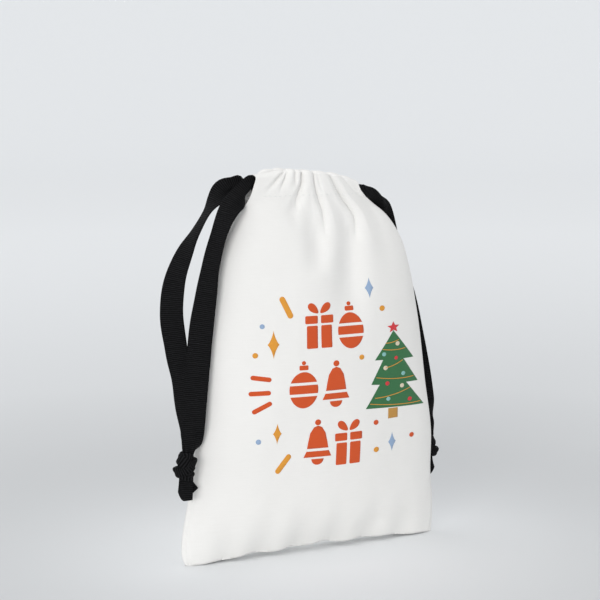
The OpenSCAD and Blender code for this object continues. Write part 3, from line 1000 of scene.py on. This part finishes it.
def make_print(tree):
    groups = {}
    for ink, layer, loops in PRINT:
        groups.setdefault((ink, layer), []).extend(loops)
    for (ink, layer), loops in groups.items():
        points, faces, uv = ink_mesh(loops, tree, INK_PROUD * (1 + layer))
        name = f"print_{ink}" + ("_over" if layer else "")
        make_piece(name, points, faces, INK[ink], POUCH, uv)


make_print(front_tree)


# ---------------------------------------------------------------- hidden seams, stitches and tacks
STITCH, STITCH_PITCH, STITCH_Z = 2.0, 2.6, 183.0
TACK_X, TACK_Z = 31.4, 181.5
THREAD_AROUND = 0.36  # between neighbouring turns of a bar tack


def stitch_row(name, tree, face):
    """Short thread stitches that follow the gathered casing along its foot."""
    parts = []
    ring = [(math.cos(a), math.sin(a)) for a in angles(8)]
    fat = np.array([0.04, 0.15, 0.17, 0.15, 0.04])
    dip = np.array([-0.2, 0.0, 0.03, 0.0, -0.2])
    faces = tube_faces(5, 8) + [tuple(range(8))[::-1], tuple(range(32, 40))]
    for x in np.arange(NECK_X - NECK_HALF + 2.5, NECK_X + NECK_HALF - 2, STITCH_PITCH):
        z = STITCH_Z + 0.15 * math.sin(x * 2.1)
        spots = [panel_hit(tree, x + t, z, face) for t in np.linspace(-STITCH / 2, STITCH / 2, 5)]
        if any(spot is None for spot in spots):
            continue
        at = np.array([p + n * 0.02 for p, n in spots])
        run = unit(np.gradient(at, axis=0))
        out = unit(np.mean([n for _, n in spots], axis=0))
        up = unit(np.cross(run, out))
        rings = [at[i] + out * (dip[i] + fat[i] * d) + up[i] * fat[i] * c for i in range(5) for c, d in ring]
        parts.append((rings, faces, None))
    points, faces, _ = join_meshes(parts)
    make_piece(name + "_stitching", points, faces, THREAD, POUCH, nodes=[name + "_stitches"])


stitch_row("front", front_tree, FRONT)
stitch_row("back", back_tree, BACK)


def bar_tack(name, x):
    """Five turns of thread across the foot of a slit."""
    parts = []
    turn = angles(24)
    side = np.array([1.0, 0, 0])
    ring = [(math.cos(a) * 0.19, math.sin(a) * 0.19) for a in angles(6)]
    for k in range(5):
        places = np.full_like(turn, x + (k - 2) * THREAD_AROUND)
        path = np.stack([places, 2.3 * np.cos(turn), TACK_Z + 0.55 * np.sin(turn)], axis=1)
        up = np.cross(unit(np.roll(path, -1, 0) - np.roll(path, 1, 0)), side)
        points = np.stack([path + side * c + up * d for c, d in ring], axis=1).reshape(-1, 3)
        parts.append((points, tube_faces(24, 6, closed=True), None))
    points, faces, _ = join_meshes(parts)
    make_piece(name + "_thread_tack", points, faces, THREAD, POUCH, nodes=[name + "_tack"])


bar_tack("left", NECK_X - TACK_X)
bar_tack("right", NECK_X + TACK_X)


def seam_strip(name, path, across, width):
    """A pressed seam allowance inside the pouch: a flat strip, 1 mm thick, along path."""
    path = np.asarray(path, float)
    side = unit(np.cross(unit(np.gradient(path, axis=0)), across))
    v = np.linspace(0, 1, 5) * width
    walls = ((v, 0.5), (v[::-1], -0.5))
    ring = np.concatenate([path[:, None] + across * w[:, None] + side[:, None] * y for w, y in walls], axis=1)
    n, m = ring.shape[:2]
    uv = grid_uv(np.concatenate([v, v]), np.arange(n)[:, None] * 2.0)
    faces = tube_faces(n, m) + strip_caps(n, m)
    make_piece(name + "_allowance", ring.reshape(-1, 3), faces, COTTON, POUCH, uv, [name + "_seam"])


heights = np.linspace(10, 172, 60)
widths = outline_at(heights)[:, 0]
for side_name, way in ((LEFT, -1), (RIGHT, 1)):
    inside = np.stack([lean(heights) + way * (widths - 2.0), 0 * heights, heights], axis=1)
    seam_strip(side_name, inside, np.array([-way, 0, 0.0]), 6)
across_x = np.linspace(-66, 66, 50)
lift = FOOT_LIFT * (1 - (across_x / (FOOT_HALF - 2)) ** 2)
seam_strip("bottom", np.stack([across_x, 0 * across_x, 1.3 + lift], axis=1), np.array([0, 0, 1.0]), 6.5)


# ---------------------------------------------------------------- tape inside the casing
CHANNEL = (5.5, 7.1)  # how far from the middle the folded tape's two faces lie
LEAD_Y = 6.45  # and its fold, before it is laid flat
LEAD_OVERLAP = 1.2  # a lead runs this far out of the slit, into its strand
LEAD_END = 22.9  # and to this far from the neck's middle, on the other side
TURN_END, TURN_REACH = 23.5, 5.6  # where a turn begins, and how far it bows out
TURN_Z = {LEFT: 184.0, RIGHT: 185.4}
TURN_HEIGHT = 0.48  # folded in half: this share of the open tape's height


def lead_piece(side, face):
    """The part of a tape that runs inside the casing, folded in half."""
    way = -1 if side == LEFT else 1
    name = "front" if face < 0 else "back"
    z = ROUTES[f"{side}_{name}"][0][2]
    start, end = SLIT_X[side] - way * LEAD_OVERLAP, NECK_X - way * LEAD_END
    x = np.linspace(start, end, 40)
    centre = np.stack([x, np.full_like(x, face * LEAD_Y), np.full_like(x, z)], axis=1)
    look = np.tile([0, face * 1.0, 0], (len(x), 1))
    points, faces, uv = tape_mesh(centre, look, np.full(len(x), 165.0), 0 * x)
    # inside the casing it is crumpled lower where the rim droops
    deep = soften(np.abs(points[:, 0] - start) / 8)
    if side == LEFT:
        top = np.minimum(z + 2.9, rim_at(points[:, 0]) - RIM_ABOVE_TAPE)
        foot = np.minimum(z - 2.9, top - 1.0)
    else:
        foot, top = z - 2.6, z + 2.2
    crumpled = foot + (points[:, 2] - z + 3) / 6 * (top - foot)
    points[:, 2] += (crumpled - points[:, 2]) * deep
    # it lies flat between the casing's two walls
    out = points[:, 1] * face
    flat = CHANNEL[0] + (out - out.min()) / np.ptp(out) * (CHANNEL[1] - CHANNEL[0])
    points[:, 1] += (flat - out) * face * deep
    if side == LEFT:
        points[:, 2] -= above_rim(points) * (1 - deep)
    body, nodes = side + "_drawstring", [f"{side}_lead_{name}"]
    make_piece(f"{side}_{name}_lead_tape", points, faces, TAPE, body, uv, nodes)


def turn_piece(side):
    """Where a tape turns from the front casing to the back one, at the slit across from its own loop."""
    way = 1 if side == LEFT else -1
    z = TURN_Z[side]
    angle = np.linspace(-math.pi / 2, math.pi / 2, 25)
    x = NECK_X + way * (TURN_END + TURN_REACH * np.cos(angle))
    centre = np.stack([x, np.mean(CHANNEL) * np.sin(angle), np.full_like(angle, z)], axis=1)
    look = np.stack([way * np.cos(angle), np.sin(angle), 0 * angle], axis=1)
    flat = np.zeros(len(angle))
    points, faces, uv = tape_mesh(centre, look, flat, flat, thick=2 * TAPE_THICK, cup=0.0)
    points[:, 2] = z + (points[:, 2] - z) * TURN_HEIGHT
    make_piece(side + "_turn_tape", points, faces, TAPE, POUCH, uv, [side + "_turn"])


for side_name in (LEFT, RIGHT):
    turn_piece(side_name)
    for face_way in (FRONT, BACK):
        lead_piece(side_name, face_way)


# ---------------------------------------------------------------- knots
KNOT_LUMPS = 0.2  # how uneven its wraps are
KNOT_SEED = 7  # Blender seeds noise_vector from the clock, unless the script does
KNOT_BANDS = [
    # place, tilt, spin, radii, height, thickness, wobble
    ((0.4, 0, 3.0), 24, 0, (3.5, 3.1), 5.6, 3.0, 0.4),
    ((-0.6, 0, -0.6), -26, 0, (3.9, 3.3), 5.4, 2.9, 1.9),
    ((0.3, 0, -3.6), 20, 20, (2.6, 2.3), 4.6, 2.6, 3.1),
    ((0, -0.4, 0.2), 62, -20, (4.9, 2.2), 4.4, 2.4, 4.4),
    ((0.3, 0, 5.3), 8, 40, (2.7, 2.4), 4.0, 2.4, 5.2),
]


def band(centre, tilt, turn, radii, height, thick, wobble):
    """One wrap of a knot: a closed, rounded band of tape round the middle of the knot."""
    count, sides = 56, 14
    a = angles(count)
    radius = 1 + 0.05 * np.sin(2 * a + wobble) + 0.03 * np.sin(3 * a + 2 * wobble)
    x, y = (r * radius * q for r, q in zip(radii, (np.cos(a), np.sin(a))))
    path = np.stack([x, y, 0.5 * np.sin(2 * a + wobble)], axis=1)
    run = unit(np.roll(path, -1, 0) - np.roll(path, 1, 0))
    out = unit(np.cross(run, [0, 0, 1.0]))
    up = unit(np.cross(out, run))
    b = angles(sides)
    c, s = np.cos(b), np.sin(b)
    # rounded section with a shallow groove along its face, as if two layers lay side by side
    across = np.sign(s) * np.abs(s) ** 0.75 * height / 2
    deep = np.sign(c) * np.abs(c) ** 0.75 * thick / 2
    groove = -0.3 * np.exp(-((across / 0.5) ** 2)) * (c > 0)
    swell = 1 + 0.1 * np.sin(3 * a + wobble * 1.7)[:, None]
    points = path[:, None, :] + up[:, None, :] * (across * swell)[..., None]
    points += out[:, None, :] * (deep + groove)[None, :, None]
    tilted = Matrix.Rotation(math.radians(turn), 3, "Z") @ Matrix.Rotation(math.radians(tilt), 3, "Y")
    points = points.reshape(-1, 3) @ np.array(tilted).T + np.asarray(centre, float)
    uv = grid_uv(across + wobble, (a * sum(radii) / 2)[:, None])
    return points, tube_faces(count, sides, closed=True), uv


def make_knot(side, turn):
    x, y, z = KNOT_AT[side]
    parts = []
    c, s = math.cos(math.radians(turn)), math.sin(math.radians(turn))
    for (px, py, pz), tilt, spin, radii, height, thick, wobble in KNOT_BANDS:
        centre = (x + c * px - s * py, y + s * px + c * py, z + pz)
        parts.append(band(centre, tilt, spin + turn, radii, height, thick, wobble))
    points, faces, uv = join_meshes(parts)
    noise.seed_set(KNOT_SEED)
    points += KNOT_LUMPS * np.array([noise.noise_vector(Vector(p / 2.6)) for p in points])
    return make_piece(side + "_knot_tape", points, faces, TAPE, side + "_loop", uv, [side + "_knot"])


knots = {side: make_knot(side, CAMERA_TURN + turn) for side, turn in ((LEFT, 0), (RIGHT, 180))}


# Cut ends below each knot: top, bottom, widths there, which way it faces, slant, fold, corner's rounding
TAILS = {
    LEFT: [
        ((-76.0, -8.6, 46.4), (-76.9, -8.8, 35.2), (7.0, 7.4), (-0.4, -0.9, 0.1), 0.1, 0.7, 0.42),
        ((-74.0, -6.6, 45.2), (-71.4, -7.0, 38.6), (3.0, 5.6), (-0.5, -0.8, 0.2), 0.3, 0.6, 0.0),
    ],
    RIGHT: [
        ((77.2, 12.2, 37.4), (78.4, 12.6, 27.2), (5.6, 7.2), (0.4, 0.9, 0.1), -0.2, 0.5, 0.3),
        ((76.0, 14.0, 37.0), (74.2, 15.6, 30.4), (3.0, 5.4), (0.4, 0.9, 0.1), 0.3, 0.6, 0.0),
    ],
}


def tail_mesh(top, bottom, end_widths, face, slant, fold, rounding):
    """A cut end of tape below a knot, wider at the cut, which is slanted and rounded at one corner."""
    top, bottom, face = (np.asarray(v, float) for v in (top, bottom, face))
    run = unit(bottom - top)
    across = unit(np.cross(run, face))
    out = np.cross(across, run)
    rows, cols = 12, 13
    t = np.linspace(0, 1, rows)
    v = np.linspace(-0.5, 0.5, cols)
    width = end_widths[0] + (end_widths[1] - end_widths[0]) * soften(t)
    end = 1 + (slant * v - rounding * np.clip((v - 0.05) / 0.45, 0, 1) ** 2)[None, :] * t[:, None]
    along = t[:, None] * end
    middle = top + (bottom - top) * along[..., None]
    bend = fold * np.cos(v * 7 + 0.6)[None, :] * (1 - 0.6 * t)[:, None] + 0.5 * np.sin(3.0 * t)[:, None]
    centre = middle + across * (v[None, :] * width[:, None])[..., None] + out * bend[..., None]
    half = out * TAPE_THICK / 2
    rings = np.concatenate([centre + half, centre[:, ::-1] - half], axis=1)
    m = rings.shape[1]
    down = np.concatenate([along, along[:, ::-1]], axis=1) * np.linalg.norm(bottom - top)
    uv = grid_uv(np.concatenate([v, v[::-1]]) * 10, down)
    return rings.reshape(-1, 3), tube_faces(rows, m) + strip_caps(rows, m), uv


def make_tails(side):
    points, faces, uv = join_meshes([tail_mesh(*tail) for tail in TAILS[side]])
    return make_piece(side + "_tail_tape", points, faces, TAPE, side + "_loop", uv, [side + "_tails"])


tails = {side: make_tails(side) for side in (LEFT, RIGHT)}

for side_name in (LEFT, RIGHT):
    declare_strand(strands[side_name + "_front"])
    declare_strand(strands[side_name + "_back"])

# ---------------------------------------------------------------- studio
# Painted light on the sweep: brightness of its colour by distance from the pouch, metres; a painted pool of
# light close round the pouch, a darker ring of painted shade beyond it, and lighter again far out
SWEEP_PAINTED_LIGHT = [
    (0.0, 0.96), (0.04, 0.95), (0.08, 0.82), (0.14, 0.68), (0.22, 0.62), (0.32, 0.65), (0.5, 0.72),
    (1.1, 0.84), (2.0, 0.97), (6.0, 0.99),
]
SWEEP_FLAT = 4.0
SWEEP_BEND = 1.2
SWEEP_TINT = (0.975, 0.99, 1.0)


def make_sweep():
    """A round pale floor that curves up into a low wall all the way round, its colour painted lighter and
    darker in rings round the pouch as painted light and shade.
    """
    m, tree, shader = node_material("paper_sweep", (0.7, 0.7, 0.7), 0.9, 0.05)
    n = tree.nodes.new("ShaderNodeVectorMath")
    n.operation = "LENGTH"
    connect(n.inputs[0], wire(tree, "ShaderNodeTexCoord", "Object"))
    ramp = tree.nodes.new("ShaderNodeValToRGB")
    ramp.color_ramp.interpolation = "B_SPLINE"
    reach = SWEEP_PAINTED_LIGHT[-1][0]
    while len(ramp.color_ramp.elements) < len(SWEEP_PAINTED_LIGHT):
        ramp.color_ramp.elements.new(0.5)
    for element, (r, v) in zip(ramp.color_ramp.elements, SWEEP_PAINTED_LIGHT):
        element.position = math.sqrt(r / reach)
    for element, (r, v) in zip(ramp.color_ramp.elements, SWEEP_PAINTED_LIGHT):
        element.color = (*[v * c for c in SWEEP_TINT], 1)
    # painted light and shade: the floor's colour is lighter close round the pouch, darker in a ring beyond
    # it, and lighter again far out
    connect(ramp.inputs[0], (Wire(n.outputs["Value"]) * (1 / reach)).maths("POWER", 0.5))
    connect(shader.inputs["Base Color"], Wire(ramp.outputs[0]))
    profile = [(r, 0.0) for r in (0.0005, 0.3, 0.8, 1.5, 2.5, SWEEP_FLAT)]
    bend = [(math.sin(a), 1 - math.cos(a)) for a in np.linspace(0, math.pi / 2, 17)[1:]]
    profile += [(SWEEP_FLAT + SWEEP_BEND * c, SWEEP_BEND * s) for c, s in bend]
    turns = angles(96)
    points = np.array([[(r * math.cos(t), r * math.sin(t), z) for t in turns] for r, z in profile]) / MM
    faces = tube_faces(len(profile), len(turns)) + [tuple(range(len(turns)))]
    make_piece("paper_sweep", points.reshape(-1, 3), faces, m)


def make_light(name, place, aim, size, watts, colour=(1, 1, 1)):
    data = bpy.data.lights.new(name, "AREA")
    data.shape = "DISK"
    data.size = size
    data.energy = watts
    data.color = colour
    light = bpy.data.objects.new(name, data)
    light.location = place
    light.rotation_euler = (Vector(aim) - Vector(place)).to_track_quat("-Z", "Y").to_euler()
    bpy.context.collection.objects.link(light)


def make_studio():
    scene = bpy.context.scene
    scene.view_settings.view_transform = "Standard"
    world = bpy.data.worlds.new("studio")
    world.use_nodes = True
    world.node_tree.nodes["Background"].inputs[0].default_value = (0.975, 0.985, 1.0, 1)
    world.node_tree.nodes["Background"].inputs[1].default_value = 0.80
    scene.world = world
    make_light("key", (-1.7, -1.7, 0.42), (0, 0, 0.06), 1.0, 21, (1, 0.993, 0.985))
    make_light("top", (-0.2, 0.6, 1.9), (0, 0, 0.0), 1.2, 6, (0.97, 0.985, 1))


make_sweep()
make_studio()
